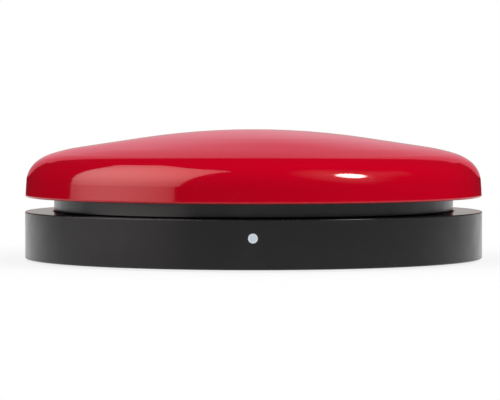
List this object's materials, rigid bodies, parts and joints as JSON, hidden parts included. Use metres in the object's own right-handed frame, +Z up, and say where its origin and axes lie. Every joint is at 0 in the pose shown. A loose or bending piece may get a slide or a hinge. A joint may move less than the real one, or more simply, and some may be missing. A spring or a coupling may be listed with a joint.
{
  "type": "adaptive switch button",
  "caption": "Large round adaptive switch: a wide red domed cap that is pressed down onto a flat black base with a status light in front.",
  "frame": {"origin": "middle of the base on the floor it stands on, at the underside of its feet", "axes": "+Z up, along the way the cap is pressed down; -Y towards the front, where the status light is; +X to the right seen from the front"},
  "size_m": [0.125, 0.125, 0.0356],
  "materials": {
    "cap_red": "gloss",
    "carrier_black": "satin",
    "pad_rubber": "matt",
    "screw_steel": "zinc plated",
    "washer_steel": "satin",
    "spring_steel": "drawn wire",
    "base_black": "satin gloss",
    "cover_black": "fine grain",
    "door_black": "fine grain",
    "foot_rubber": "matt",
    "insert_brass": "turned",
    "cell_jacket": "plain jacket",
    "contact_nickel": "nickel plated",
    "lead_black": "satin",
    "lead_red": "satin",
    "board_green": "lacquered",
    "switch_black": "satin",
    "plunger_grey": "satin",
    "led_white": "gloss",
    "light_pipe": "frosted clear",
    "shield_steel": "tinned",
    "chip_black": "matt",
    "knob_grey": "satin"
  },
  "bodies": {
    "base": {"base_housing": "base_black", "bottom_cover": "cover_black", "battery_door": "door_black", "battery_door_screw": "screw_steel", "case_screws": "screw_steel", "rubber_feet": "foot_rubber", "mounting_insert": "insert_brass", "battery_cell_front": "cell_jacket", "battery_cell_rear": "cell_jacket", "battery_contact_negative": "contact_nickel", "battery_contact_positive": "contact_nickel", "battery_contact_bridge": "contact_nickel", "battery_lead_negative": "lead_black", "battery_lead_positive": "lead_red", "circuit_board": "board_green", "board_screws": "screw_steel", "main_switch_body": "switch_black", "status_led": "led_white", "led_light_pipe": "light_pipe", "radio_module": "shield_steel", "controller_chip": "chip_black", "power_switch_body": "shield_steel", "pairing_switch_body": "switch_black", "return_springs": "spring_steel"},
    "press_top": {"cap": "cap_red", "cap_carrier": "carrier_black", "pusher_pad": "pad_rubber", "cap_screws": "screw_steel", "retaining_washers": "washer_steel", "retaining_screws": "screw_steel"},
    "plunger": {"main_switch_plunger": "plunger_grey"},
    "power_slider": {"power_knob": "knob_grey"},
    "pairing_button": {"pairing_key": "knob_grey"}
  },
  "joints": [
    {"name": "cap_press", "type": "slide", "parent": "base", "child": "press_top", "axis": [0, 0, -1], "range_m": [0, 0.0005], "stiffness_N_per_m": 900, "springref_m": -0.003, "deforming": ["return_springs"]},
    {"name": "plunger_press", "type": "slide", "parent": "base", "child": "plunger", "axis": [0, 0, -1], "range_m": [0, 0.00025], "stiffness_N_per_m": 200, "springref_m": -0.0005},
    {"name": "power_slide", "type": "slide", "parent": "base", "child": "power_slider", "axis": [1, 0, 0], "range_m": [0, 0.002]},
    {"name": "pairing_press", "type": "slide", "parent": "base", "child": "pairing_button", "axis": [0, 0, 1], "range_m": [0, 0.0003], "stiffness_N_per_m": 300, "springref_m": -0.0005}
  ],
  "couplings": [
    {"joint": "plunger_press", "follows": "cap_press", "ratio": 0.5}
  ]
}
